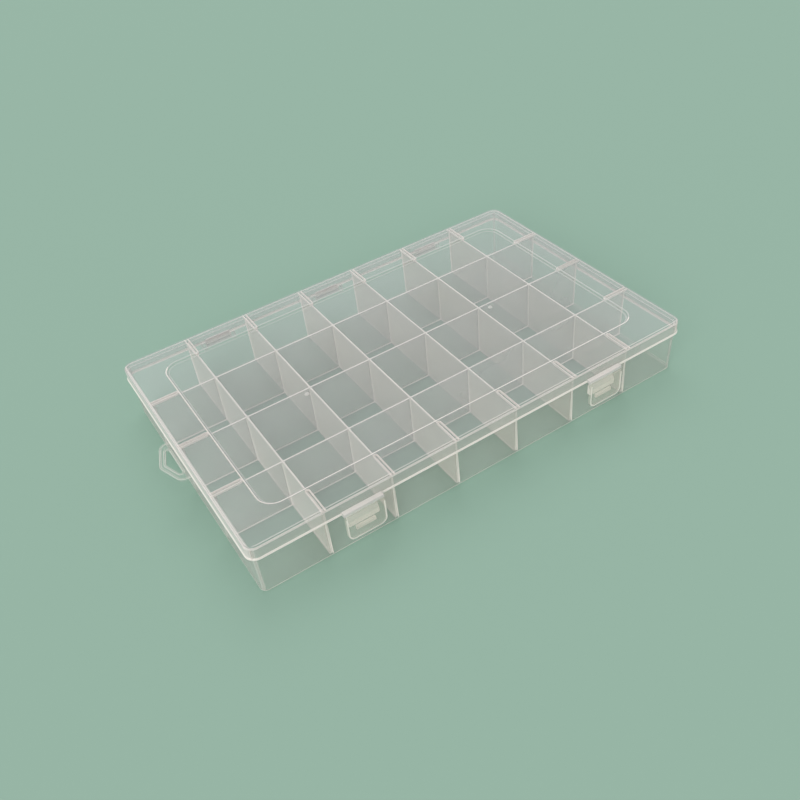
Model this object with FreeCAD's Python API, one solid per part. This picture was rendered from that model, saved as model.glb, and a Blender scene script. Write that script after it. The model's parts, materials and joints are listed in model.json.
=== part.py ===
"""Clear compartment box with a hinged lid and two latches, shut.

Millimetres. The origin is the centre of the floor's underside, +X runs along the length, +Z is up,
and the latches are on the front, the -Y side. The tray, the lid and each latch are divided into
their floor, walls, dividers, ribs, hinge parts and latch parts, which lie face to face.
"""
import FreeCAD, Part
import math
import os

Vector = FreeCAD.Vector

# Compartments
COLUMNS = 7
ROWS = 4
LATCH_COLUMN = 2
DIVIDER_THICKNESS = 1.2

# Whole box, measured over the lid's skirt
LID_LENGTH = 346.0
LID_WIDTH = 217.6
BOX_HEIGHT = 44.5
LID_CORNER_RADIUS = 7.0

# Lid
LID_SHEET = 1.2
LID_EDGE_RADIUS = 2.0
SKIRT_DEPTH = 10.9
SKIRT_CLEARANCE = 0.35
LIP_REACH = 0.6
LIP_FACE = 0.8
LIP_HEIGHT = 1.4
PANEL_INSET = 22.9
PANEL_CORNER_RADIUS = 12.0
PANEL_DROP = 1.6
PANEL_SLOPE = 1.5
GATE_RADIUS = 1.5
GATE_HEIGHT = 0.4
GATE_SPACING = 158.0
GATE_OFFSET = 7.0
RIB_CHANNEL_WIDTH = 3.4
RIB_THICKNESS = 0.8

# Tray
TRAY_WALL = 1.3
TRAY_DRAFT = 0.9
FLOOR_THICKNESS = 1.3
FOOT_CHAMFER = 1.0
WALL_TO_PANEL_GAP = 0.4

# Hanging loop on the left wall
LOOP_FOOT_WIDTH = 42.8
LOOP_SHOULDER_WIDTH = 40.0
LOOP_SHOULDER_REACH = 9.1
LOOP_REACH = 16.3
LOOP_BAND = 4.4
LOOP_BASE = 4.8
LOOP_OUTER_RADIUS = 6.0
LOOP_INNER_RADIUS = 1.2
LOOP_WEB = 1.0
LOOP_RIB_WIDTH = 1.45
LOOP_RIB_HEIGHT = 0.6
LOOP_LID_GAP = 0.4

# Back hinges
HINGE_PIN_RADIUS = 1.5
HINGE_RUNNING_CLEARANCE = 0.05
HINGE_CLIP_THICKNESS = 1.05
HINGE_CLIP_WIDTH = 20.0
HINGE_CLIP_MOUTH = 2.2
HINGE_SIDE_CLEARANCE = 0.3
HINGE_LUG_WIDTH = 3.5
HINGE_LUG_RADIUS = 2.9
HINGE_LID_GAP = 0.4
HINGE_WALL_GAP = 0.4

# Latches and their catches
LATCH_WIDTH = 28.0
LATCH_DROP = 20.6
LATCH_CORNER_RADIUS = 5.0
LATCH_THICKNESS = 1.3
LATCH_RIM_WIDTH = 1.1
LATCH_RIM_HEIGHT = 0.7
LATCH_FILM = 0.5
LATCH_FILM_LENGTH = 1.3
LATCH_BEAD_RADIUS = 0.35
LATCH_BEAD_GAP = 0.2
FLANGE_THICKNESS = 2.2
FLANGE_OVERHANG = 0.4
CATCH_WIDTH = 22.0
CATCH_REACH = 2.4
CATCH_HEIGHT = 9.0
CATCH_FACE = 4.0
CATCH_DROP = 13.4
HOOK_WIDTH = 14.0
HOOK_HEIGHT = 3.0
HOOK_LENGTH = 1.5
HOOK_CLEARANCE = 0.2

# Cutting tools reach this far past what they cut
OVERRUN = 3.0
# Points closer than this are one point
TOUCHING = 1e-6
# Depth of the four sectors that share out a ring, of its half width
SECTOR_DEPTH_SHARE = 0.5

# Levels, from the top down
top_level = BOX_HEIGHT
border_underside = top_level - LID_SHEET
panel_level = top_level - PANEL_DROP
panel_underside = panel_level - LID_SHEET
rim_level = panel_underside - WALL_TO_PANEL_GAP
skirt_top = top_level - LID_EDGE_RADIUS
skirt_bottom = top_level - SKIRT_DEPTH
lap_level = (FLOOR_THICKNESS + rim_level) / 2

# Half sizes of the lid's skirt and of the tray's rim, inside it
lid_half_x = LID_LENGTH / 2
lid_half_y = LID_WIDTH / 2
rim_inset = LID_SHEET + SKIRT_CLEARANCE
rim_half_x = lid_half_x - rim_inset
rim_half_y = lid_half_y - rim_inset
rim_radius = LID_CORNER_RADIUS - rim_inset

# Compartment grid, shared out over the inside of the rim
column_pitch = (2 * (rim_half_x - TRAY_WALL) + DIVIDER_THICKNESS) / COLUMNS
row_pitch = (2 * (rim_half_y - TRAY_WALL) + DIVIDER_THICKNESS) / ROWS
cross_divider_places = [column_pitch * (i - COLUMNS / 2) for i in range(1, COLUMNS)]
long_divider_places = [row_pitch * (i - ROWS / 2) for i in range(1, ROWS)]

# Latches and hinges stand at one column, counted from each end, and a third hinge in the middle
outer_station = column_pitch * ((COLUMNS + 1) / 2 - LATCH_COLUMN)
latch_stations = {"left": -outer_station, "right": outer_station}
hinge_stations = {"left": -outer_station, "middle": 0, "right": outer_station}

# Hinge axis of the lid
clip_bore_radius = HINGE_PIN_RADIUS + HINGE_RUNNING_CLEARANCE
clip_outer_radius = clip_bore_radius + HINGE_CLIP_THICKNESS
hinge_y = rim_half_y + HINGE_WALL_GAP + clip_outer_radius
hinge_z = skirt_bottom - HINGE_LID_GAP - max(HINGE_LUG_RADIUS, clip_outer_radius)

# Latch: catch face, flap faces and film axis, from the wall outwards
catch_face_y = -(rim_half_y + CATCH_REACH)
catch_bottom = skirt_bottom - CATCH_DROP
flap_inner_y = catch_face_y - HOOK_CLEARANCE - HOOK_LENGTH
flap_outer_y = flap_inner_y - LATCH_THICKNESS
latch_y = (flap_inner_y + flap_outer_y) / 2
latch_z = skirt_bottom - LATCH_BEAD_GAP - LATCH_BEAD_RADIUS
flap_top = latch_z - LATCH_FILM_LENGTH
flap_bottom = latch_z - LATCH_DROP
flange_edge_y = latch_y - LATCH_BEAD_RADIUS


def rounded_outline(points, radii):
    """Closed wire through the points, with an arc of its own radius at each corner or none at zero."""
    count = len(points)
    corners = []
    for i, corner in enumerate(points):
        if radii[i] == 0:
            corners.append((corner, None, corner))
            continue
        to_last = (points[i - 1] - corner).normalize()
        to_next = (points[(i + 1) % count] - corner).normalize()
        half_angle = to_last.getAngle(to_next) / 2
        reach = radii[i] / math.tan(half_angle)
        bisector = (to_last + to_next).normalize()
        middle = corner + bisector * (radii[i] / math.sin(half_angle) - radii[i])
        corners.append((corner + to_last * reach, middle, corner + to_next * reach))
    edges = []
    for i, (arrive, middle, leave) in enumerate(corners):
        if middle is not None:
            edges.append(Part.Arc(arrive, middle, leave).toShape())
        following = corners[(i + 1) % count][0]
        if leave.distanceToPoint(following) > TOUCHING:
            edges.append(Part.makeLine(leave, following))
    return Part.Wire(edges)


def prism(points, radii, direction):
    """Solid swept along the direction from a rounded outline."""
    return Part.Face(rounded_outline(points, radii)).extrude(direction)


def block(low, high):
    """Box between two opposite corners."""
    size = high - low
    return Part.makeBox(size.x, size.y, size.z, low)


def rectangle(half_x, half_y, radius, z):
    """Rounded rectangle about the origin at a level."""
    points = [
        Vector(-half_x, -half_y, z),
        Vector(half_x, -half_y, z),
        Vector(half_x, half_y, z),
        Vector(-half_x, half_y, z),
    ]
    return rounded_outline(points, [radius] * len(points))


def lid_outline(inset, z, radius=None):
    """Outline of the lid, moved inwards, with its own corner radius unless one is given."""
    if radius is None:
        radius = LID_CORNER_RADIUS - inset
    return rectangle(lid_half_x - inset, lid_half_y - inset, radius, z)


def tray_outline(inset, z):
    """Outline of the tray's outside, which widens from the floor to the rim, moved inwards."""
    inward = inset + TRAY_DRAFT * (1 - z / rim_level)
    return rectangle(rim_half_x - inward, rim_half_y - inward, rim_radius - inward, z)


def between(*outlines):
    """Solid with straight sides from each outline to the next."""
    return Part.makeLoft(list(outlines), True, True)


def tray_body(inset, low, high):
    """Everything inside the tray's outside, moved inwards, between two levels."""
    return between(tray_outline(inset, low), tray_outline(inset, high))


def four_sides(ring, half_x, half_y, low, high):
    """The ring divided at its corners, on their diagonals, into its four sides."""
    out = OVERRUN
    deep = half_y * SECTOR_DEPTH_SHARE
    corners = {
        "front": [(-half_x - out, -half_y - out), (half_x + out, -half_y - out),
                  (half_x - deep, -half_y + deep), (-half_x + deep, -half_y + deep)],
        "back": [(-half_x - out, half_y + out), (half_x + out, half_y + out),
                 (half_x - deep, half_y - deep), (-half_x + deep, half_y - deep)],
        "left": [(-half_x - out, -half_y - out), (-half_x - out, half_y + out),
                 (-half_x + deep, half_y - deep), (-half_x + deep, -half_y + deep)],
        "right": [(half_x + out, -half_y - out), (half_x + out, half_y + out),
                  (half_x - deep, half_y - deep), (half_x - deep, -half_y + deep)],
    }
    sides = {}
    for side, places in corners.items():
        points = [Vector(x, y, low) for x, y in places]
        sector = prism(points, [0] * len(points), Vector(0, 0, high - low))
        sides[side] = ring.common(sector)
    return sides


def tray_floor():
    """Floor plate with a chamfered foot."""
    return between(
        rectangle(
            rim_half_x - TRAY_DRAFT - FOOT_CHAMFER,
            rim_half_y - TRAY_DRAFT - FOOT_CHAMFER,
            rim_radius - TRAY_DRAFT - FOOT_CHAMFER,
            0,
        ),
        tray_outline(0, FOOT_CHAMFER),
        tray_outline(0, FLOOR_THICKNESS),
    )


def tray_walls():
    """Four walls on the floor, mitred at the rounded corners."""
    ring = tray_body(0, FLOOR_THICKNESS, rim_level).cut(tray_body(TRAY_WALL, FLOOR_THICKNESS, rim_level))
    return four_sides(ring, rim_half_x, rim_half_y, FLOOR_THICKNESS, rim_level)


def cross_divider(x):
    """Divider from front to back, lapped from above over the long dividers."""
    half = DIVIDER_THICKNESS / 2
    plate = block(Vector(x - half, -lid_half_y, FLOOR_THICKNESS), Vector(x + half, lid_half_y, rim_level))
    plate = plate.common(tray_body(TRAY_WALL, FLOOR_THICKNESS, rim_level))
    for y in long_divider_places:
        notch_low = Vector(x - half - OVERRUN, y - half, lap_level)
        notch_high = Vector(x + half + OVERRUN, y + half, rim_level + OVERRUN)
        plate = plate.cut(block(notch_low, notch_high))
    return plate


def long_divider(y):
    """Divider from left to right, lapped from below over the cross dividers."""
    half = DIVIDER_THICKNESS / 2
    plate = block(Vector(-lid_half_x, y - half, FLOOR_THICKNESS), Vector(lid_half_x, y + half, rim_level))
    plate = plate.common(tray_body(TRAY_WALL, FLOOR_THICKNESS, rim_level))
    for x in cross_divider_places:
        notch_low = Vector(x - half, y - half - OVERRUN, FLOOR_THICKNESS - OVERRUN)
        notch_high = Vector(x + half, y + half + OVERRUN, lap_level)
        plate = plate.cut(block(notch_low, notch_high))
    return plate


def on_tray(shape):
    """What is left of the shape outside the tray's walls, so that it sits on them."""
    return shape.cut(tray_body(0, 0, rim_level))


def hanging_loop():
    """House-shaped loop on the left wall: a thin web with a raised rib along both edges."""
    low = skirt_bottom - LOOP_LID_GAP - LOOP_RIB_HEIGHT - LOOP_WEB
    foot = LOOP_FOOT_WIDTH / 2
    shoulder = LOOP_SHOULDER_WIDTH / 2
    slope = shoulder / (LOOP_REACH - LOOP_SHOULDER_REACH)
    band_along_x = LOOP_BAND * math.hypot(1, slope) / slope
    inner_tip = LOOP_REACH - band_along_x
    inner_half = (inner_tip - LOOP_BASE) * slope
    outer_places = [
        (-OVERRUN, -foot),
        (LOOP_SHOULDER_REACH, -shoulder),
        (LOOP_REACH, 0),
        (LOOP_SHOULDER_REACH, shoulder),
        (-OVERRUN, foot),
    ]
    outer_radii = [0, LOOP_OUTER_RADIUS, LOOP_OUTER_RADIUS, LOOP_OUTER_RADIUS, 0]
    inner_places = [(LOOP_BASE, -inner_half), (inner_tip, 0), (LOOP_BASE, inner_half)]
    inner_radii = [LOOP_INNER_RADIUS] * len(inner_places)
    outer = rounded_outline([Vector(-rim_half_x - u, y, low) for u, y in outer_places], outer_radii)
    inner = rounded_outline([Vector(-rim_half_x - u, y, low) for u, y in inner_places], inner_radii)
    web_height = Vector(0, 0, LOOP_WEB)
    full_height = Vector(0, 0, LOOP_WEB + LOOP_RIB_HEIGHT)
    web = Part.Face(outer).extrude(web_height)
    outer_rib = Part.Face(outer).extrude(full_height).cut(
        Part.Face(outer.makeOffset2D(-LOOP_RIB_WIDTH)).extrude(full_height)
    )
    inner_rib = Part.Face(inner.makeOffset2D(LOOP_RIB_WIDTH)).extrude(full_height)
    hole = Part.Face(inner).extrude(full_height)
    return on_tray(web.fuse([outer_rib, inner_rib]).cut(hole)).removeSplitter()


def latch_catch(x):
    """Ramped ledge on the front wall that the latch's hook closes under."""
    half = CATCH_WIDTH / 2
    inside_y = -rim_half_y + TRAY_DRAFT
    points = [
        Vector(x - half, inside_y, catch_bottom),
        Vector(x - half, catch_face_y, catch_bottom),
        Vector(x - half, catch_face_y, catch_bottom + CATCH_FACE),
        Vector(x - half, inside_y, catch_bottom + CATCH_HEIGHT),
    ]
    return on_tray(prism(points, [0] * len(points), Vector(CATCH_WIDTH, 0, 0)))


def lug_faces(x):
    """Inner faces of a hinge's two lugs."""
    half = HINGE_CLIP_WIDTH / 2 + HINGE_SIDE_CLEARANCE
    return x - half, x + half


def hinge_lug(low_x):
    """Lug on the back wall, round about the hinge axis."""
    bottom = hinge_z - HINGE_LUG_RADIUS
    foot = block(
        Vector(low_x, rim_half_y - TRAY_DRAFT, bottom),
        Vector(low_x + HINGE_LUG_WIDTH, hinge_y, hinge_z + HINGE_LUG_RADIUS),
    )
    round_end = Part.makeCylinder(
        HINGE_LUG_RADIUS, HINGE_LUG_WIDTH, Vector(low_x, hinge_y, hinge_z), Vector(1, 0, 0)
    )
    return on_tray(foot.fuse(round_end)).removeSplitter()


def hinge_lugs(x):
    """The two lugs that carry one pin."""
    low_face, high_face = lug_faces(x)
    return Part.makeCompound([hinge_lug(low_face - HINGE_LUG_WIDTH), hinge_lug(high_face)])


def hinge_pin(x):
    """Pin between a hinge's lugs."""
    low_face, high_face = lug_faces(x)
    centre = Vector(low_face, hinge_y, hinge_z)
    return Part.makeCylinder(HINGE_PIN_RADIUS, high_face - low_face, centre, Vector(1, 0, 0))


def lid_top():
    """Border with a rounded edge, a step down to the recessed panel, and two gate nubs on it."""
    outer = Part.Face(lid_outline(0, skirt_top - OVERRUN)).extrude(Vector(0, 0, LID_EDGE_RADIUS + OVERRUN))
    outer = rounded_above(outer, top_level, LID_EDGE_RADIUS)
    inner = Part.Face(lid_outline(LID_SHEET, skirt_top - OVERRUN)).extrude(
        Vector(0, 0, border_underside - skirt_top + OVERRUN)
    )
    if LID_EDGE_RADIUS > LID_SHEET:
        inner = rounded_above(inner, border_underside, LID_EDGE_RADIUS - LID_SHEET)
    below = block(
        Vector(-LID_LENGTH, -LID_WIDTH, skirt_top - 2 * OVERRUN), Vector(LID_LENGTH, LID_WIDTH, skirt_top)
    )
    border = outer.cut([inner, below])
    boss = panel_step(border_underside)
    pocket = panel_step(top_level)
    nubs = [
        Part.makeCylinder(GATE_RADIUS, GATE_HEIGHT, Vector(x, -GATE_OFFSET, panel_level))
        for x in (-GATE_SPACING / 2, GATE_SPACING / 2)
    ]
    return border.fuse(boss).cut(pocket).fuse(nubs).removeSplitter()


def panel_step(level):
    """Space between the panel's outline at a level and its smaller outline one drop lower."""
    lower_radius = PANEL_CORNER_RADIUS - PANEL_SLOPE
    return between(
        lid_outline(PANEL_INSET, level, PANEL_CORNER_RADIUS),
        lid_outline(PANEL_INSET + PANEL_SLOPE, level - PANEL_DROP, lower_radius),
    )


def rounded_above(shape, level, radius):
    """The shape with its edges at a level rounded."""
    edges = [edge for edge in shape.Edges if edge.BoundBox.ZMin > level - TOUCHING]
    return shape.makeFillet(radius, edges)


def lid_skirts():
    """Four sides of the skirt, with the lip along the bottom edge."""
    tube = Part.Face(lid_outline(0, skirt_bottom)).extrude(Vector(0, 0, skirt_top - skirt_bottom))
    lip = between(
        lid_outline(-LIP_REACH, skirt_bottom),
        lid_outline(-LIP_REACH, skirt_bottom + LIP_FACE),
        lid_outline(0, skirt_bottom + LIP_HEIGHT),
    )
    inside = Part.Face(lid_outline(LID_SHEET, skirt_bottom)).extrude(Vector(0, 0, skirt_top - skirt_bottom))
    ring = tube.fuse(lip).cut(inside).removeSplitter()
    return four_sides(ring, lid_half_x, lid_half_y, skirt_bottom, skirt_top)


def channel_rib(length, depth):
    """Channel rib that starts at the origin, runs along +Y and ends in a half circle."""
    half = RIB_CHANNEL_WIDTH / 2
    inner_half = half - RIB_THICKNESS
    outer = prism(
        [Vector(-half, 0, 0), Vector(half, 0, 0), Vector(half, length, 0), Vector(-half, length, 0)],
        [0, 0, half, half],
        Vector(0, 0, depth),
    )
    inner_end = length - RIB_THICKNESS
    inner = prism(
        [
            Vector(-inner_half, -OVERRUN, 0),
            Vector(inner_half, -OVERRUN, 0),
            Vector(inner_half, inner_end, 0),
            Vector(-inner_half, inner_end, 0),
        ],
        [0, 0, inner_half, inner_half],
        Vector(0, 0, depth),
    )
    return outer.cut(inner)


def lid_ribs(top):
    """Channel ribs under the border, one over each end of each divider, in a group for each side."""
    length = PANEL_INSET + PANEL_SLOPE / 2 - LID_SHEET
    depth = border_underside - panel_underside
    start_x = lid_half_x - LID_SHEET
    start_y = lid_half_y - LID_SHEET
    starts = {
        "front": [(x, -start_y, 0) for x in cross_divider_places],
        "back": [(x, start_y, 180) for x in cross_divider_places],
        "left": [(-start_x, y, -90) for y in long_divider_places],
        "right": [(start_x, y, 90) for y in long_divider_places],
    }
    groups = {}
    for side, places in starts.items():
        ribs = []
        for x, y, turn in places:
            rib = channel_rib(length, depth)
            rib.rotate(Vector(0, 0, 0), Vector(0, 0, 1), turn)
            rib.translate(Vector(x, y, panel_underside))
            ribs.append(rib.cut(top))
        groups[side] = Part.makeCompound(ribs)
    return groups


def hinge_clip(x, skirt):
    """Open clip round the hinge pin, on a bridge down from the back skirt's lip."""
    low_x = x - HINGE_CLIP_WIDTH / 2
    along = Vector(1, 0, 0)
    centre = Vector(low_x, hinge_y, hinge_z)
    ring = Part.makeCylinder(clip_outer_radius, HINGE_CLIP_WIDTH, centre, along)
    bridge = block(
        Vector(low_x, lid_half_y - LID_SHEET, hinge_z + HINGE_PIN_RADIUS),
        Vector(low_x + HINGE_CLIP_WIDTH, hinge_y, skirt_bottom + LIP_HEIGHT),
    )
    bore = Part.makeCylinder(clip_bore_radius, HINGE_CLIP_WIDTH, centre, along)
    mouth = block(
        Vector(low_x, hinge_y - HINGE_CLIP_MOUTH / 2, hinge_z - clip_outer_radius - OVERRUN),
        Vector(low_x + HINGE_CLIP_WIDTH, hinge_y + HINGE_CLIP_MOUTH / 2, hinge_z),
    )
    return ring.fuse(bridge).cut([bore, mouth, skirt]).removeSplitter()


def latch_flange(x, skirt):
    """Bar on the front skirt that the latch's film hangs from."""
    half = LATCH_WIDTH / 2 + FLANGE_OVERHANG
    bar = block(
        Vector(x - half, flange_edge_y, skirt_bottom),
        Vector(x + half, -lid_half_y, skirt_bottom + FLANGE_THICKNESS),
    )
    return bar.cut(skirt)


def latch_flap(x):
    """Flap with a raised rim, hung from a film whose bead lies on the hinge axis."""
    half = LATCH_WIDTH / 2
    low_x = x - half
    bead_start = Vector(low_x, latch_y, latch_z)
    bead = Part.makeCylinder(LATCH_BEAD_RADIUS, LATCH_WIDTH, bead_start, Vector(1, 0, 0))
    film = block(
        Vector(low_x, latch_y - LATCH_FILM / 2, flap_top),
        Vector(x + half, latch_y + LATCH_FILM / 2, latch_z),
    )
    plate = flap_plate(x, half, flap_bottom, LATCH_CORNER_RADIUS, flap_inner_y, LATCH_THICKNESS, flap_top)
    rim = flap_plate(x, half, flap_bottom, LATCH_CORNER_RADIUS, flap_outer_y, LATCH_RIM_HEIGHT, flap_top)
    field = flap_plate(
        x,
        half - LATCH_RIM_WIDTH,
        flap_bottom + LATCH_RIM_WIDTH,
        LATCH_CORNER_RADIUS - LATCH_RIM_WIDTH,
        flap_outer_y,
        LATCH_RIM_HEIGHT,
        flap_top + OVERRUN,
    )
    return plate.fuse([bead, film, rim.cut(field)]).removeSplitter()


def flap_plate(x, half, bottom, radius, inner_y, thickness, top):
    """Upright plate, rounded at its two lower corners, from a face outwards."""
    points = [
        Vector(x - half, inner_y, top),
        Vector(x - half, inner_y, bottom),
        Vector(x + half, inner_y, bottom),
        Vector(x + half, inner_y, top),
    ]
    return prism(points, [0, radius, radius, 0], Vector(0, -thickness, 0))


def latch_hook(x):
    """Hook bar on the flap's inner face, under the catch and just clear of it."""
    half = HOOK_WIDTH / 2
    hook_top = catch_bottom - HOOK_CLEARANCE
    return block(
        Vector(x - half, flap_inner_y, hook_top - HOOK_HEIGHT),
        Vector(x + half, flap_inner_y + HOOK_LENGTH, hook_top),
    )


def all_nodes():
    """Every named solid or group of solids."""
    nodes = {"tray_floor": tray_floor(), "hanging_loop": hanging_loop(), "lid_top": lid_top()}
    for side, wall in tray_walls().items():
        nodes["tray_" + side + "_wall"] = wall
    for number, x in enumerate(cross_divider_places, start=1):
        nodes["cross_divider_" + str(number)] = cross_divider(x)
    for number, y in enumerate(long_divider_places, start=1):
        nodes["long_divider_" + str(number)] = long_divider(y)
    skirts = lid_skirts()
    for side, skirt in skirts.items():
        nodes["lid_" + side + "_skirt"] = skirt
    for side, ribs in lid_ribs(nodes["lid_top"]).items():
        nodes["lid_" + side + "_ribs"] = ribs
    for place, x in hinge_stations.items():
        nodes["hinge_lugs_" + place] = hinge_lugs(x)
        nodes["hinge_pin_" + place] = hinge_pin(x)
        nodes["hinge_clip_" + place] = hinge_clip(x, skirts["back"])
    for place, x in latch_stations.items():
        nodes["latch_catch_" + place] = latch_catch(x)
        nodes["latch_flange_" + place] = latch_flange(x, skirts["front"])
        nodes["latch_flap_" + place] = latch_flap(x)
        nodes["latch_hook_" + place] = latch_hook(x)
    return nodes


os.makedirs("parts", exist_ok=True)
for name, shape in all_nodes().items():
    shape.exportStep("parts/" + name + ".step")
    volumes = [round(solid.Volume, 1) for solid in shape.Solids]
    print(name, "solids", len(volumes), "valid", shape.isValid(), "mm3", volumes[:3])
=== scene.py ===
"""Clear compartment box with a hinged lid and two latches: materials, dressed pieces, light and camera.

Metres, in the frame of the solids. Each solid gets a dressed copy whose corners are softened and whose
faces carry a "rim" value: 0 where a sheet is seen broad side on, up to 1 where it is seen edge on, as
on the top of a divider, because a frosted sheet looks thin and clear from the side and milky from its
edge. Some rim values are painted light rather than haze: painted highlights along lines of the lid and
down the tray's corners, a lighter left skirt, and painted shade on the sides away from the light.
"""
import json
import math

import bmesh
import bpy
from mathutils import Matrix, Vector
from mathutils.bvhtree import BVHTree

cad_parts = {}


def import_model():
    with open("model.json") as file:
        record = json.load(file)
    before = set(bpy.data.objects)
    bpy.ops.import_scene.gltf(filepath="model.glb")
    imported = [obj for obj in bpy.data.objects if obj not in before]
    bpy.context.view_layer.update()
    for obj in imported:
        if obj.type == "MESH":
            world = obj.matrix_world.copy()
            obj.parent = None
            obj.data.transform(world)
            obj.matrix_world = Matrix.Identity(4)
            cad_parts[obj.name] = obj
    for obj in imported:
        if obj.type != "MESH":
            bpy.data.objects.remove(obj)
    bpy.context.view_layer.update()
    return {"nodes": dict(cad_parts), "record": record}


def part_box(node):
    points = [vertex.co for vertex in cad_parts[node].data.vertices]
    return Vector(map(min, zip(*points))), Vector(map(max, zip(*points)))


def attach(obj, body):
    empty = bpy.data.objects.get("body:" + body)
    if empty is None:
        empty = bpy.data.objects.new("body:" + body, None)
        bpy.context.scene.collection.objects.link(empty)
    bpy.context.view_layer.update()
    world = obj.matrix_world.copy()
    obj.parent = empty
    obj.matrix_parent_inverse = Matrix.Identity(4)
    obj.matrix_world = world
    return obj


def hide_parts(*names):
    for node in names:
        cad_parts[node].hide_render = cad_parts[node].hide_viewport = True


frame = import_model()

MM = 0.001

# Camera, fitted to the straight edges of the box
CAMERA_AIM = Vector((-8.77, -9.57, 0)) * MM
CAMERA_DISTANCE = 639.62 * MM
CAMERA_DOWN = math.radians(41.17)
CAMERA_TURN = math.radians(28.48)
CAMERA_ROLL = math.radians(-6.88)
CAMERA_LENS = 38.465
CAMERA_SENSOR = 36.0

# Room: floor, backdrop and lamps
FLOOR_COLOUR = (0.305, 0.456, 0.371)
FLOOR_ROUGHNESS = 0.9
FLOOR_SPECULAR = 0.1
FLOOR_SIZE = 12.0
FLOOR_DROP = 0.02 * MM
ROOM_COLOUR = (0.55, 0.68, 0.61)
SKY_STRENGTH = 0.52
# Each lamp gives a level floor this share of full light
LAMPS = {
    "overhead_lamp": {"place": (0.35, 0.75, 1.20), "spread": 45, "floor_share": 0.20},
    "front_left_lamp": {"place": (-0.85, -0.75, 0.70), "spread": 45, "floor_share": 0.29},
}
# Faces that light and sight go through, one after another
CLEAR_LAYERS = 48

# Frosted plastic at its rims, and the share of its haze that also stops light: the rest scatters it on
RIM_HAZE = 0.62
RIM_COLOUR = (0.97, 0.89, 0.84)
HAZE_SHADOW_SHARE = 0.80
SKIRT_SHADOW_SHARE = 0.25
PLASTIC_IOR = 1.49
# Haze and colour of each plastic seen broad side on, and the power by which its haze grows as sight slants
PLASTICS = {
    "polished_tray": {"sheet_haze": 0.060, "sheet_colour": (0.62, 0.62, 0.58), "slant_power": 1.3},
    "matt_divider": {"sheet_haze": 0.150, "sheet_colour": (0.76, 0.72, 0.66), "slant_power": 2.2},
    "long_divider_plastic": {"sheet_haze": 0.115, "sheet_colour": (0.73, 0.705, 0.665), "slant_power": 2.2},
    "clear_lid": {"sheet_haze": 0.095, "sheet_colour": (0.60, 0.62, 0.63), "slant_power": 1.3},
    "clear_skirt": {
        "sheet_haze": 0.060, "sheet_colour": (0.61, 0.61, 0.58), "slant_power": 2.0,
        "shadow_share": SKIRT_SHADOW_SHARE,
    },
    "soft_latch": {"sheet_haze": 0.080, "sheet_colour": (0.78, 0.75, 0.65), "slant_power": 1.3},
}
SLOT_PLASTIC = {"tray_plastic": "polished_tray", "lid_plastic": "clear_lid", "latch_plastic": "soft_latch"}
# Nodes that differ from their slot's plastic, by the start of their names
OWN_PLASTIC = {
    "latch_catch": "soft_latch", "cross_divider": "matt_divider", "long_divider": "long_divider_plastic",
    "lid_front_skirt": "clear_skirt", "lid_back_skirt": "clear_skirt",
    "lid_left_skirt": "clear_skirt", "lid_right_skirt": "clear_skirt",
}
# Smallest cosine that counts where sight slants through a sheet
STEEPEST_SIGHT = 0.2
# At this blend the Facing output is one less the cosine
COSINE_BLEND = 0.5

# Clouds in the haze and in the polish, each as its least value and what a full cloud adds, and fine grain
CLOUD_SIZE = 50 * MM
CLOUD_DETAIL = 2
LEAST_CLOUD = 0.65
CLOUD_GROWTH = 0.70
LEAST_ROUGHNESS = 0.25
ROUGHNESS_GROWTH = 0.20
GRAIN_SIZE = 1.2 * MM
GRAIN_DETAIL = 1
GRAIN_STRENGTH = 0.15
GRAIN_HEIGHT = 0.02 * MM

# Dressing of the solids
MERGE = 0.0005 * MM
FLAT = math.radians(0.4)
CORNER = math.radians(30)
TOUCHING = 0.03 * MM
# Cosine from which two faces count as parallel
PARALLEL = 0.9
# Height of a normal from which a face counts as level
LEVEL = 0.5
# Share of the way from a face's middle to its corners at which it is tested for a neighbour
NEAR_CORNER = 0.9
SEAM_GAP = 0.012 * MM
SOFT_CORNER = 0.18 * MM
SOFT_CORNER_RIM = 0.75
SOFT_CORNER_STEPS = 2
ROUND_PROFILE = 0.5
# Widest facet of a rounded surface
ROUND_FACET = 3.0 * MM
# Faces up to this width are narrow, as a sheet's edge is, but for those at the lid's right end
NARROW = 2.4 * MM
OWN_NARROW = {"hanging_loop": 1.5 * MM}
RIGHT_END = 1.0 * MM
# The lid's two gate marks are the only faces as small as this
GATE_MARK_AREA = 8 * MM ** 2
GATE_MARK_RIM = 0.45

# A value below zero leaves a face quite clear
CLEAR_RIM = -0.25
# How milky a hidden seam between two kinds of piece still looks; the others are clear
SEAM_RIM = {("divider", "wall"): 1.0, ("divider", "floor"): 0.10}

# Fillets beside the dividers, and their rim values by the divider's family and what it meets
FILLET = 0.65 * MM
FILLET_RIM = {
    ("cross", "divider"): 0.65,
    ("cross", "wall"): 1.0,
    ("cross", "floor"): 0.40,
    ("long", "divider"): 0.65,
    ("long", "wall"): 0.65,
    ("long", "floor"): 0.90,
}

# Rim values of broad faces, narrow faces and softened corners, by the start of a node's name
BROAD_RIM = {
    "latch_catch": 0.70, "latch_hook": 0.70, "latch_flange": 0.75, "hinge_lugs": 0.25, "hinge_pin": 0.35,
    # The left skirt's higher value is painted light: that side is painted lighter, as if lit from the left
    "lid_front_skirt": 0.08, "lid_back_skirt": 0.10, "lid_left_skirt": 0.25, "lid_right_skirt": 0.05,
}
NARROW_RIM = {
    "hanging_loop": 0.08, "latch_flap": 0.85, "latch_flange": 0.40, "latch_hook": 0.70,
    "lid_front_skirt": 0.85, "tray_front_wall": 0.85, "tray_left_wall": 0.50, "tray_": 0.12,
}
CORNER_RIM = {"hanging_loop": 1.0, "latch_flap": 0.20, "latch_flange": 0.30, "lid_top": 0.80, "tray_": 0.85}
OWN_SOFT_CORNER = {"hanging_loop": 0.30 * MM, "tray_": 0.25 * MM, "latch_f": 0.25 * MM}
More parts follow.
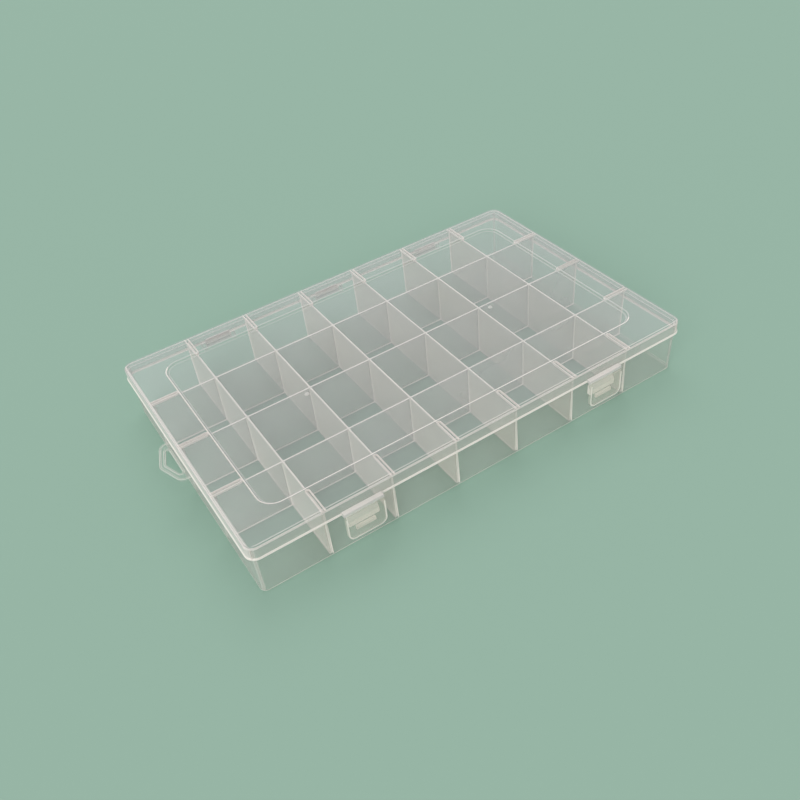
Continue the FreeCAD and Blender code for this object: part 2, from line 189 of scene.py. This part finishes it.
# Narrow faces and corners of these pieces get painted shade, dim where they don't reach the lit side that
# looks this way
LIT_SIDE = {"latch_flap": Vector((0, -1, 0)), "hanging_loop": Vector((0, 0, 1))}
DIM_RIM = 0.10

# Step between the lid's border and its panel: its slope, by the height of its normal, and the lines
# along its top and its foot
PANEL_INSET = 22.9 * MM
STEP_TURN = (0.40, 0.95)
STEP_SOFT_CORNER = 0.55 * MM
STEP_CORNER_STEPS = 3
STEP_SLOPE_RIM = 0.03
STEP_UNDERSIDE_RIM = 0.0
STEP_FOOT_RIM = 0.35
# The top line's value by side is a painted highlight: full on the front and left, dimmed on the back and
# right
STEP_LINE_RIM_AND_HIGHLIGHT = {"front": 1.0, "left": 1.0, "back": 0.40, "right": 0.40}

# Painted highlight along the upper part of the lid's rounded edge, where the surface has begun to turn
# down, on the front and left only
EDGE_WIDTH = 2.2 * MM
EDGE_HIGHLIGHT_TURN = (0.90, 0.995)
EDGE_PAINTED_HIGHLIGHT = {"front": 0.70, "left": 0.70, "back": 0.0, "right": 0.0}

# Painted highlight down each rounded corner of the tray, where its wall looks out diagonally
CORNER_HIGHLIGHT_TURN = 0.55
CORNER_PAINTED_HIGHLIGHT = 0.30

# Channel ribs under the lid's border
RIB_COUNTS = {"front": 6, "back": 6, "left": 3, "right": 3}
RIB_TURNS = {"front": 0, "back": 180, "left": -90, "right": 90}
RIB_CHANNEL_WIDTH = 3.4 * MM
RIB_THICKNESS = 0.8 * MM
RIB_SHORT_OF_STEP = 0.75 * MM
RIB_SOFT_CORNER = 0.12 * MM
RIB_CORNER_STEPS = 2
RIB_ARC_STEPS = 10
RIB_RIM = 1.0


# Names and families of the nodes

slot_of = {part["node"]: part["material_slot"] for part in frame["record"]["subparts"]}
body_of = {
    node: body for body, nodes in frame["record"]["behaviour"]["bodies"].items() for node in nodes
}


def kind_of(node):
    """Family of a node, for its seams."""
    for kind in ("divider", "wall", "floor", "ribs"):
        if kind in node:
            return kind
    return "fitting"


def value_for(table, node, usual):
    """A node's value in a table of name starts."""
    return next((value for start, value in table.items() if node.startswith(start)), usual)


def seam_rim(node, neighbour):
    """Rim value of a face that lies against a neighbour."""
    pair = tuple(sorted((kind_of(node), kind_of(neighbour))))
    return SEAM_RIM.get(pair, CLEAR_RIM)


# Materials

def maths(tree, operation, *values, clamp=False):
    """Math node whose inputs are numbers or other nodes' outputs."""
    node = tree.nodes.new("ShaderNodeMath")
    node.operation = operation
    node.use_clamp = clamp
    for i, value in enumerate(values):
        if isinstance(value, (int, float)):
            node.inputs[i].default_value = value
        else:
            tree.links.new(value, node.inputs[i])
    return node.outputs[0]


def noise(group, place, size, detail):
    """Noise in the object's own space, with features of a given size."""
    node = group.nodes.new("ShaderNodeTexNoise")
    node.inputs["Detail"].default_value = detail
    group.links.new(place, node.inputs["Vector"])
    group.links.new(maths(group, "DIVIDE", 1, size), node.inputs["Scale"])
    return node.outputs["Fac"]


def frosting_group():
    """Cloudiness of frosted sheet: its colour, haze, roughness and surface height from a rim value."""
    group = bpy.data.node_groups.new("frosted sheet", "ShaderNodeTree")
    sockets = {
        "INPUT": {
            "Rim": "Float", "Sheet Haze": "Float", "Rim Haze": "Float",
            "Sheet Colour": "Color", "Rim Colour": "Color", "Cloud Size": "Float", "Grain Size": "Float",
        },
        "OUTPUT": {"Colour": "Color", "Haze": "Float", "Roughness": "Float", "Height": "Float"},
    }
    for way, kinds in sockets.items():
        for name, kind in kinds.items():
            group.interface.new_socket(name, in_out=way, socket_type="NodeSocket" + kind)
    given = group.nodes.new("NodeGroupInput").outputs
    result = group.nodes.new("NodeGroupOutput").inputs
    place = group.nodes.new("ShaderNodeTexCoord").outputs["Object"]
    cloud = noise(group, place, given["Cloud Size"], CLOUD_DETAIL)
    grain = noise(group, place, given["Grain Size"], GRAIN_DETAIL)

    thicker = maths(group, "MULTIPLY_ADD", cloud, CLOUD_GROWTH, LEAST_CLOUD)
    sheet = maths(group, "MULTIPLY", given["Sheet Haze"], thicker)
    rim_part = maths(group, "MULTIPLY", given["Rim"], maths(group, "SUBTRACT", given["Rim Haze"], sheet))
    group.links.new(maths(group, "ADD", sheet, rim_part, clamp=True), result["Haze"])

    blend = group.nodes.new("ShaderNodeMix")
    blend.data_type = "RGBA"
    group.links.new(given["Rim"], blend.inputs["Factor"])
    group.links.new(given["Sheet Colour"], blend.inputs["A"])
    group.links.new(given["Rim Colour"], blend.inputs["B"])
    group.links.new(blend.outputs["Result"], result["Colour"])

    polish = maths(group, "MULTIPLY_ADD", cloud, ROUGHNESS_GROWTH, LEAST_ROUGHNESS)
    group.links.new(polish, result["Roughness"])
    group.links.new(grain, result["Height"])
    return group


def frosted_plastic(name, frosting, sheet_haze, sheet_colour, slant_power, shadow_share=HAZE_SHADOW_SHARE):
    """Clear plastic whose milky haze grows, by a power, as sight slants through the sheet."""
    material = bpy.data.materials.new(name)
    material.use_nodes = True
    tree = material.node_tree
    shader = tree.nodes["Principled BSDF"]
    shader.inputs["IOR"].default_value = PLASTIC_IOR

    frost = tree.nodes.new("ShaderNodeGroup")
    frost.node_tree = frosting
    settings = {
        "Sheet Haze": sheet_haze, "Rim Haze": RIM_HAZE, "Sheet Colour": (*sheet_colour, 1),
        "Rim Colour": (*RIM_COLOUR, 1), "Cloud Size": CLOUD_SIZE, "Grain Size": GRAIN_SIZE,
    }
    for label, value in settings.items():
        frost.inputs[label].default_value = value
    rim = tree.nodes.new("ShaderNodeAttribute")
    rim.attribute_name = "rim"
    tree.links.new(rim.outputs["Fac"], frost.inputs["Rim"])

    facing = tree.nodes.new("ShaderNodeLayerWeight")
    facing.inputs["Blend"].default_value = COSINE_BLEND
    cosine = maths(tree, "SUBTRACT", 1, facing.outputs["Facing"])
    path = maths(tree, "DIVIDE", 1, maths(tree, "MAXIMUM", cosine, STEEPEST_SIGHT))
    slanted = maths(tree, "POWER", path, slant_power)
    through = maths(tree, "POWER", maths(tree, "SUBTRACT", 1, frost.outputs["Haze"]), slanted)
    seen = maths(tree, "SUBTRACT", 1, through)
    light_path = tree.nodes.new("ShaderNodeLightPath")
    eased = maths(tree, "MULTIPLY", light_path.outputs["Is Shadow Ray"], 1 - shadow_share)
    opacity = maths(tree, "MULTIPLY", seen, maths(tree, "SUBTRACT", 1, eased), clamp=True)
    tree.links.new(opacity, shader.inputs["Alpha"])

    bump = tree.nodes.new("ShaderNodeBump")
    bump.inputs["Strength"].default_value = GRAIN_STRENGTH
    bump.inputs["Distance"].default_value = GRAIN_HEIGHT
    tree.links.new(frost.outputs["Height"], bump.inputs["Height"])
    tree.links.new(bump.outputs["Normal"], shader.inputs["Normal"])
    tree.links.new(frost.outputs["Colour"], shader.inputs["Base Color"])
    tree.links.new(frost.outputs["Roughness"], shader.inputs["Roughness"])
    return material


frosting = frosting_group()
plastics = {name: frosted_plastic(name, frosting, **values) for name, values in PLASTICS.items()}


def finish_of(node):
    """Material of a node: its family's own, or else its slot's."""
    return plastics[value_for(OWN_PLASTIC, node, SLOT_PLASTIC[slot_of[node]])]


def stand_for(node, mesh):
    """Piece made of a mesh that takes the place of a node."""
    piece = bpy.data.objects.new(node + "_piece", mesh)
    bpy.context.scene.collection.objects.link(piece)
    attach(piece, body_of[node])
    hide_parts(node)


# Faces of the solids, and what they lie against

def surface_tree(mesh):
    """Search tree over a solid's faces."""
    points = [vertex.co.copy() for vertex in mesh.vertices]
    return BVHTree.FromPolygons(points, [tuple(face.vertices) for face in mesh.polygons])


surfaces = {node: surface_tree(solid.data) for node, solid in frame["nodes"].items()}


def lies_against(surface, point, facing):
    """True if a surface lies at the point and looks the other way."""
    place, normal, _, _ = surface.find_nearest(point, TOUCHING)
    return place is not None and normal.dot(facing) < -PARALLEL


def touching_node(node, face):
    """Neighbour on the same body that all of a face lies against, if any."""
    middle = face.calc_center_median_weighted()
    points = [middle] + [middle.lerp(corner.co, NEAR_CORNER) for corner in face.verts]
    for other, surface in surfaces.items():
        if other == node or body_of[other] != body_of[node]:
            continue
        if all(lies_against(surface, point, face.normal) for point in points):
            return other
    return None


def smooth_patches(shape):
    """Groups of faces that meet without a corner, in the order of their first faces."""
    placed = set()
    patches = []
    for first in shape.faces:
        if first in placed:
            continue
        placed.add(first)
        patch = [first]
        for face in patch:
            for edge in face.edges:
                if edge.calc_face_angle(math.pi) > CORNER:
                    continue
                for other in edge.link_faces:
                    if other not in placed:
                        placed.add(other)
                        patch.append(other)
        patches.append(patch)
    return patches


def patch_width(patch):
    """Width of a patch of faces, as if it were a long strip."""
    inside = set(patch)
    border = 0
    for face in patch:
        for edge in face.edges:
            if any(other not in inside for other in edge.link_faces):
                border += edge.calc_length()
    area = sum(face.calc_area() for face in patch)
    return 2 * area / border if border else math.inf


def is_rounded(face):
    """True for a narrow facet of a rounded surface."""
    if patch_width([face]) > ROUND_FACET:
        return False
    return any(FLAT < edge.calc_face_angle(0) < CORNER for edge in face.edges)


def nearest_side(point, low, high):
    """Side of a box that a point lies nearest to, seen from above."""
    away = {
        "left": point.x - low.x, "right": high.x - point.x,
        "front": point.y - low.y, "back": high.y - point.y,
    }
    return min(away, key=away.get)


def patch_rim(node, patch):
    """Rim value of a patch's open faces."""
    at_right_end = (
        node == "lid_top"
        and max(corner.co.x for face in patch for corner in face.verts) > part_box(node)[1].x - RIGHT_END
    )
    if at_right_end or patch_width(patch) >= value_for(OWN_NARROW, node, NARROW):
        return value_for(BROAD_RIM, node, 0)
    if node == "lid_top" and sum(face.calc_area() for face in patch) < GATE_MARK_AREA:
        return GATE_MARK_RIM
    return value_for(NARROW_RIM, node, 1)


def mark_faces(node, shape, rim):
    """Gives each face its rim value, and returns the hidden faces with their neighbours."""
    hidden = {}
    for patch in smooth_patches(shape):
        value = patch_rim(node, patch)
        for face in patch:
            neighbour = touching_node(node, face)
            if neighbour:
                hidden[face] = neighbour
            face[rim] = seam_rim(node, neighbour) if neighbour else value
    return hidden


# Dressing: seams, corners, lines with painted highlights and fillets

def draw_back(hidden):
    """Moves seam faces a hair inwards, so that no two faces lie in one place."""
    shifts = {}
    for face in hidden:
        for corner in face.verts:
            normals = shifts.setdefault(corner, [])
            if all(normal.dot(face.normal) < PARALLEL for normal in normals):
                normals.append(face.normal.copy())
    for corner, normals in shifts.items():
        for normal in normals:
            corner.co -= normal * SEAM_GAP


def soften(shape, rim, edges, width, value, steps=SOFT_CORNER_STEPS):
    """Rounds edges, gives the new faces a rim value and returns them."""
    made = bmesh.ops.bevel(
        shape, geom=edges, offset=width, offset_type="OFFSET", segments=steps, profile=ROUND_PROFILE,
        affect="EDGES", clamp_overlap=True,
    )
    for face in made["faces"]:
        face[rim] = value
    return made["faces"]


def soften_step(shape, rim):
    """Rounds the step: a line along its top, whose brightness by side is a painted highlight, a softer one
    along its foot and a dim slope.
    """
    low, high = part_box("lid_top")
    slopes = set()
    for face in shape.faces:
        middle = face.calc_center_median()
        inside = abs(middle.x) < high.x - PANEL_INSET and abs(middle.y) < high.y - PANEL_INSET
        if inside and STEP_TURN[0] < abs(face.normal.z) < STEP_TURN[1]:
            slopes.add(face)
            face[rim] = STEP_SLOPE_RIM
    borders = [edge for edge in shape.edges if sum(face in slopes for face in edge.link_faces) == 1]
    levels = {}
    for edge in borders:
        levels.setdefault(round(edge.verts[0].co.z / TOUCHING), []).append(edge)
    # From the lowest up: the foot's underside and upper side, then the same of the top
    values = [STEP_UNDERSIDE_RIM, STEP_FOOT_RIM, STEP_UNDERSIDE_RIM, 0]
    for level, value in zip(sorted(levels), values, strict=True):
        line = soften(shape, rim, levels[level], STEP_SOFT_CORNER, value, STEP_CORNER_STEPS)
    for face in line:
        face[rim] = STEP_LINE_RIM_AND_HIGHLIGHT[nearest_side(face.calc_center_median(), low, high)]


def paint_edge_highlight(shape, rim):
    """Paints a highlight along the upper part of the lid's rounded edge, on its front and left sides."""
    low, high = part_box("lid_top")
    for face in shape.faces:
        middle = face.calc_center_median()
        inside = abs(middle.x) < high.x - EDGE_WIDTH and abs(middle.y) < high.y - EDGE_WIDTH
        if not inside and EDGE_HIGHLIGHT_TURN[0] < face.normal.z < EDGE_HIGHLIGHT_TURN[1]:
            face[rim] = EDGE_PAINTED_HIGHLIGHT[nearest_side(middle, low, high)]


def paint_corner_highlights(shape, rim):
    """Paints a highlight down the tray's rounded upright corners."""
    for face in shape.faces:
        if min(abs(face.normal.x), abs(face.normal.y)) > CORNER_HIGHLIGHT_TURN:
            face[rim] = CORNER_PAINTED_HIGHLIGHT


def dim_away_from_light(node, shape, rim):
    """Dims the bright faces of a piece that don't reach its lit side, where it has one."""
    lit = value_for(LIT_SIDE, node, None)
    if lit is None:
        return
    reach = max(corner.co.dot(lit) for corner in shape.verts) - TOUCHING
    for face in shape.faces:
        if face[rim] > DIM_RIM and all(corner.co.dot(lit) < reach for corner in face.verts):
            face[rim] = DIM_RIM


def fillets(node, hidden):
    """Corners beside a divider's seams that want a fillet: two ends, two ways out and rim value of each."""
    family = node.split("_")[0]
    # Axis across the divider's thickness
    thin = 1 if family == "long" else 0
    found = []
    for face, neighbour in hidden.items():
        kind = kind_of(neighbour)
        if kind == "divider" and abs(face.normal.z) > LEVEL:
            continue
        low = Vector([min(corner.co[i] for corner in face.verts) for i in range(3)])
        high = Vector([max(corner.co[i] for corner in face.verts) for i in range(3)])
        way = Vector([round(value) for value in face.normal])
        for side in (-1, 1):
            start, end, sideways = low.copy(), high.copy(), Vector()
            start[thin] = end[thin] = high[thin] if side > 0 else low[thin]
            sideways[thin] = side
            found.append((start, end, way, sideways, FILLET_RIM[family, kind]))
    return found


def add_fillets(shape, rim, found):
    """Fills corners with slim three-sided bars whose open side is milky."""
    for start, end, way, sideways, value in found:
        inner = (sideways - way) * SEAM_GAP
        section = [inner, inner + sideways * FILLET, inner - way * FILLET]
        near = [shape.verts.new(start + point) for point in section]
        far = [shape.verts.new(end + point) for point in section]
        bar = [shape.faces.new(near), shape.faces.new(far)]
        for i, j in ((0, 1), (1, 2), (2, 0)):
            bar.append(shape.faces.new((near[i], near[j], far[j], far[i])))
        for face in bar:
            face[rim] = CLEAR_RIM
        # The side between the two outer points of the section is the open one
        bar[3][rim] = value
        bmesh.ops.recalc_face_normals(shape, faces=bar)


def dress(node):
    """Replaces a solid with its dressed copy."""
    shape = bmesh.new()
    shape.from_mesh(frame["nodes"][node].data)
    bmesh.ops.remove_doubles(shape, verts=shape.verts, dist=MERGE)
    bmesh.ops.dissolve_limit(shape, angle_limit=FLAT, verts=shape.verts, edges=shape.edges)
    rim = shape.faces.layers.float.new("rim")
    hidden = mark_faces(node, shape, rim)
    bars = fillets(node, hidden) if kind_of(node) == "divider" else []
    draw_back(hidden)
    if node == "lid_top":
        soften_step(shape, rim)
        paint_edge_highlight(shape, rim)
    if kind_of(node) == "wall":
        paint_corner_highlights(shape, rim)
    corners = [
        edge
        for edge in shape.edges
        if edge.calc_face_angle(0) > CORNER and not any(face in hidden for face in edge.link_faces)
    ]
    width = value_for(OWN_SOFT_CORNER, node, SOFT_CORNER)
    soften(shape, rim, corners, width, value_for(CORNER_RIM, node, SOFT_CORNER_RIM))
    dim_away_from_light(node, shape, rim)
    add_fillets(shape, rim, bars)
    for face in shape.faces:
        face.smooth = is_rounded(face)
    for edge in shape.edges:
        edge.smooth = edge.calc_face_angle(0) < CORNER
    mesh = bpy.data.meshes.new(node + "_dressed")
    shape.to_mesh(mesh)
    shape.free()
    mesh.materials.append(finish_of(node))
    stand_for(node, mesh)


# Channel ribs

def geometry_tree(name, inputs):
    """Geometry node tree with named inputs and one geometry output."""
    tree = bpy.data.node_groups.new(name, "GeometryNodeTree")
    for label, kind in inputs.items():
        tree.interface.new_socket(label, in_out="INPUT", socket_type=kind)
    tree.interface.new_socket("Geometry", in_out="OUTPUT", socket_type="NodeSocketGeometry")
    return tree, tree.nodes.new("NodeGroupInput").outputs, tree.nodes.new("NodeGroupOutput").inputs


def node_in(tree, kind, links, **settings):
    """Node with its settings made and its inputs set or linked."""
    node = tree.nodes.new(kind)
    for name, value in settings.items():
        setattr(node, name, value)
    for name, value in links.items():
        if isinstance(value, bpy.types.NodeSocket):
            tree.links.new(value, node.inputs[name])
        else:
            node.inputs[name].default_value = value
    return node


def channel_ribs_tree():
    """Row of U-shaped ribs along X that open at the start and end in a half circle along +Y."""
    tree, given, result = geometry_tree("channel ribs", {
        "Count": "NodeSocketInt", "Pitch": "NodeSocketFloat", "Length": "NodeSocketFloat",
        "Width": "NodeSocketFloat", "Thickness": "NodeSocketFloat", "Depth": "NodeSocketFloat",
        "Corner": "NodeSocketFloat", "Turn": "NodeSocketFloat", "Start": "NodeSocketVector",
        "Rim": "NodeSocketFloat", "Material": "NodeSocketMaterial",
    })
    # The arc's own points, and one at the open end of each leg
    points = RIB_ARC_STEPS + 1 + 2
    line = node_in(tree, "GeometryNodeMeshLine", {"Count": points}).outputs["Mesh"]
    index = tree.nodes.new("GeometryNodeInputIndex").outputs["Index"]
    radius = maths(tree, "MULTIPLY", maths(tree, "SUBTRACT", given["Width"], given["Thickness"]), 0.5)
    share = maths(tree, "DIVIDE", maths(tree, "SUBTRACT", index, 1), RIB_ARC_STEPS, clamp=True)
    angle = maths(tree, "MULTIPLY", share, math.pi)
    across = maths(tree, "MULTIPLY", radius, maths(tree, "MULTIPLY", maths(tree, "COSINE", angle), -1))
    centre = maths(tree, "SUBTRACT", given["Length"], maths(tree, "MULTIPLY", given["Width"], 0.5))
    along = maths(tree, "ADD", centre, maths(tree, "MULTIPLY", radius, maths(tree, "SINE", angle)))
    past_first = maths(tree, "GREATER_THAN", index, 0)
    before_last = maths(tree, "LESS_THAN", index, points - 1)
    on_arc = maths(tree, "MULTIPLY", past_first, before_last)
    out = maths(tree, "MULTIPLY", along, on_arc)
    place = node_in(tree, "ShaderNodeCombineXYZ", {"X": across, "Y": out})
    path = node_in(tree, "GeometryNodeSetPosition", {"Geometry": line, "Position": place.outputs[0]})
    curve = node_in(tree, "GeometryNodeMeshToCurve", {"Mesh": path.outputs[0]})
    upright = node_in(tree, "GeometryNodeSetCurveNormal", {"Curve": curve.outputs[0]}, mode="Z_UP")
    section = node_in(tree, "GeometryNodeCurvePrimitiveQuadrilateral",
                      {"Width": given["Thickness"], "Height": given["Depth"]})
    corners = {"Curve": section.outputs[0], "Radius": given["Corner"], "Count": RIB_CORNER_STEPS}
    rounded = node_in(tree, "GeometryNodeFilletCurve", corners, mode="POLY")
    swept = node_in(tree, "GeometryNodeCurveToMesh", {
        "Curve": upright.outputs[0], "Profile Curve": rounded.outputs[0], "Fill Caps": True,
    })
    marked = node_in(tree, "GeometryNodeStoreNamedAttribute",
                     {"Geometry": swept.outputs[0], "Name": "rim", "Value": given["Rim"]},
                     data_type="FLOAT", domain="FACE")
    step = node_in(tree, "ShaderNodeCombineXYZ", {"X": given["Pitch"]})
    row = node_in(tree, "GeometryNodeMeshLine", {"Count": given["Count"], "Offset": step.outputs[0]})
    placed = node_in(tree, "GeometryNodeInstanceOnPoints",
                     {"Points": row.outputs[0], "Instance": marked.outputs[0]})
    real = node_in(tree, "GeometryNodeRealizeInstances", {"Geometry": placed.outputs[0]})
    turn = node_in(tree, "ShaderNodeCombineXYZ", {"Z": given["Turn"]})
    moved = node_in(tree, "GeometryNodeTransform", {
        "Geometry": real.outputs[0], "Translation": given["Start"], "Rotation": turn.outputs[0],
    })
    coloured = node_in(tree, "GeometryNodeSetMaterial",
                       {"Geometry": moved.outputs[0], "Material": given["Material"]})
    tree.links.new(coloured.outputs[0], result["Geometry"])
    return tree


def grown_mesh(name, tree, values):
    """Plain mesh that a geometry tree makes with these inputs."""
    maker = bpy.data.objects.new(name, bpy.data.meshes.new(name))
    bpy.context.scene.collection.objects.link(maker)
    modifier = maker.modifiers.new(name, "NODES")
    modifier.node_group = tree
    for item in tree.interface.items_tree:
        if item.in_out == "INPUT":
            modifier[item.identifier] = values[item.name]
    graph = bpy.context.evaluated_depsgraph_get()
    mesh = bpy.data.meshes.new_from_object(maker.evaluated_get(graph))
    maker.modifiers.remove(modifier)
    bpy.data.objects.remove(maker)
    return mesh


def lid_ribs(side, tree):
    """The ribs under one side of the lid's border."""
    node = "lid_" + side + "_ribs"
    low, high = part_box(node)
    middle = (low + high) / 2
    turn = math.radians(RIB_TURNS[side])
    forward = Vector((-math.sin(turn), math.cos(turn), 0))
    sideways = Vector((math.cos(turn), math.sin(turn), 0))
    run = abs((high - low).dot(sideways))
    reach = abs((high - low).dot(forward))
    pitch = (run - RIB_CHANNEL_WIDTH) / (RIB_COUNTS[side] - 1)
    first = middle - forward * reach / 2 - sideways * (run - RIB_CHANNEL_WIDTH) / 2
    mesh = grown_mesh(node, tree, {
        "Count": RIB_COUNTS[side], "Pitch": pitch, "Length": reach - RIB_SHORT_OF_STEP,
        "Width": RIB_CHANNEL_WIDTH, "Thickness": RIB_THICKNESS, "Depth": high.z - low.z,
        "Corner": RIB_SOFT_CORNER, "Turn": turn, "Start": first, "Rim": RIB_RIM,
        "Material": finish_of(node),
    })
    stand_for(node, mesh)


# Room

def plain_material(name, colour):
    """Matt colour of the floor."""
    material = bpy.data.materials.new(name)
    material.use_nodes = True
    shader = material.node_tree.nodes["Principled BSDF"]
    shader.inputs["Base Color"].default_value = (*colour, 1)
    shader.inputs["Roughness"].default_value = FLOOR_ROUGHNESS
    shader.inputs["Specular IOR Level"].default_value = FLOOR_SPECULAR
    return material


def floor():
    """Wide floor under the box."""
    half = FLOOR_SIZE / 2
    ends = [(-half, -half), (half, -half), (half, half), (-half, half)]
    mesh = bpy.data.meshes.new("floor")
    mesh.from_pydata([(x, y, -FLOOR_DROP) for x, y in ends], [], [tuple(range(len(ends)))])
    mesh.materials.append(plain_material("floor_paint", FLOOR_COLOUR))
    made = bpy.data.objects.new("floor", mesh)
    bpy.context.scene.collection.objects.link(made)


def world():
    """Even white light, with a pale backdrop for what looks at it."""
    made = bpy.data.worlds.new("room")
    made.use_nodes = True
    tree = made.node_tree
    light = tree.nodes["Background"]
    light.inputs["Color"].default_value = (1, 1, 1, 1)
    light.inputs["Strength"].default_value = SKY_STRENGTH
    backdrop = tree.nodes.new("ShaderNodeBackground")
    backdrop.inputs["Color"].default_value = (*ROOM_COLOUR, 1)
    backdrop.inputs["Strength"].default_value = 1
    path = tree.nodes.new("ShaderNodeLightPath")
    looked_at = maths(tree, "MAXIMUM", path.outputs["Is Camera Ray"], path.outputs["Is Glossy Ray"])
    looked_at = maths(tree, "MAXIMUM", looked_at, path.outputs["Is Transmission Ray"])
    blend = tree.nodes.new("ShaderNodeMixShader")
    tree.links.new(looked_at, blend.inputs[0])
    tree.links.new(light.outputs[0], blend.inputs[1])
    tree.links.new(backdrop.outputs[0], blend.inputs[2])
    tree.links.new(blend.outputs[0], tree.nodes["World Output"].inputs["Surface"])
    bpy.context.scene.world = made


def lamp(name, place, spread, floor_share):
    """Distant soft lamp, as wide as its spread in degrees, that gives a white floor its share of white."""
    towards = Vector(place).normalized()
    data = bpy.data.lights.new(name, "SUN")
    data.angle = math.radians(spread)
    data.energy = floor_share * math.pi / towards.z
    made = bpy.data.objects.new(name, data)
    made.location = place
    made.rotation_euler = (-towards).to_track_quat("-Z", "Y").to_euler()
    bpy.context.scene.collection.objects.link(made)


def camera():
    """Camera at the photograph's place, aimed at a point on the floor."""
    data = bpy.data.cameras.new("camera")
    data.sensor_width = CAMERA_SENSOR
    data.lens = CAMERA_LENS
    made = bpy.data.objects.new("camera", data)
    turn = Matrix.Rotation(-CAMERA_TURN, 4, "Z")
    tilt = Matrix.Rotation(math.pi / 2 - CAMERA_DOWN, 4, "X")
    roll = Matrix.Rotation(CAMERA_ROLL, 4, "Z")
    back = Matrix.Translation((0, 0, CAMERA_DISTANCE))
    made.matrix_world = Matrix.Translation(CAMERA_AIM) @ turn @ tilt @ roll @ back
    bpy.context.scene.collection.objects.link(made)
    bpy.context.scene.camera = made


# The box, its room and its picture

ribs_tree = channel_ribs_tree()
for side in RIB_COUNTS:
    lid_ribs(side, ribs_tree)
for node in sorted(frame["nodes"]):
    if kind_of(node) != "ribs":
        dress(node)
floor()
world()
for name, values in LAMPS.items():
    lamp(name, **values)
camera()
bpy.context.scene.view_settings.view_transform = "Standard"
bpy.context.scene.cycles.transparent_max_bounces = CLEAR_LAYERS
